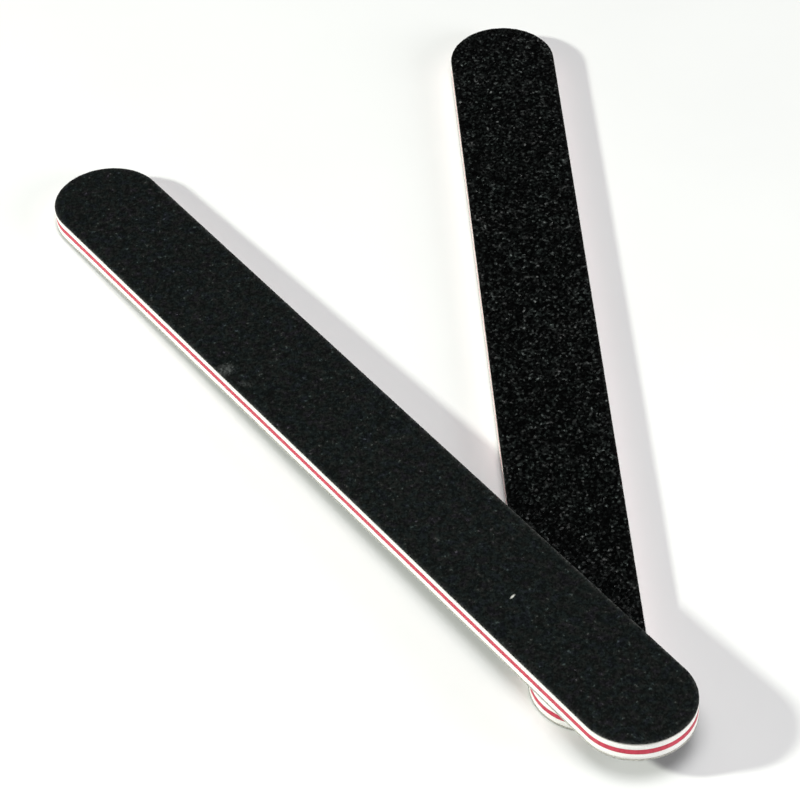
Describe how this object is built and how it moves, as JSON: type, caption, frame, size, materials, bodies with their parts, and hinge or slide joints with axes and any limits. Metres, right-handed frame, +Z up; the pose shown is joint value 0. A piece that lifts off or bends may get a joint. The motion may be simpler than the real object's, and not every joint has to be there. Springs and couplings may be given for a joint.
{
  "type": "emery board",
  "caption": "Cushioned emery boards with round ends, black grit faces and a red core between white foam, fanned in a narrow V with one leaning on the other.",
  "frame": {"origin": "centre of the lower board's underside, where the pair rests", "axes": "+Y along the lower board away from the crossing, +X to the right seen from its near end, +Z up"},
  "size_m": [0.103, 0.1895, 0.0101],
  "materials": {
    "fine_grit": "matte",
    "coarse_grit": "matte",
    "backing_paper": "matte",
    "glue_film": "satin",
    "foam": "matte",
    "core": "satin"
  },
  "bodies": {
    "lower_board": {"lower_fine_grit": "fine_grit", "lower_fine_paper": "backing_paper", "lower_fine_paper_glue": "glue_film", "lower_fine_foam": "foam", "lower_fine_core_glue": "glue_film", "lower_core": "core", "lower_coarse_core_glue": "glue_film", "lower_coarse_foam": "foam", "lower_coarse_paper_glue": "glue_film", "lower_coarse_paper": "backing_paper", "lower_coarse_grit": "coarse_grit"},
    "upper_board": {"upper_coarse_grit": "coarse_grit", "upper_coarse_paper": "backing_paper", "upper_coarse_paper_glue": "glue_film", "upper_coarse_foam": "foam", "upper_coarse_core_glue": "glue_film", "upper_core": "core", "upper_fine_core_glue": "glue_film", "upper_fine_foam": "foam", "upper_fine_paper_glue": "glue_film", "upper_fine_paper": "backing_paper", "upper_fine_grit": "fine_grit"}
  },
  "joints": [
    {"name": "upper_board_lift", "type": "slide", "parent": "lower_board", "child": "upper_board", "axis": [0, 0, 1], "range_m": [0, 0.04]}
  ]
}
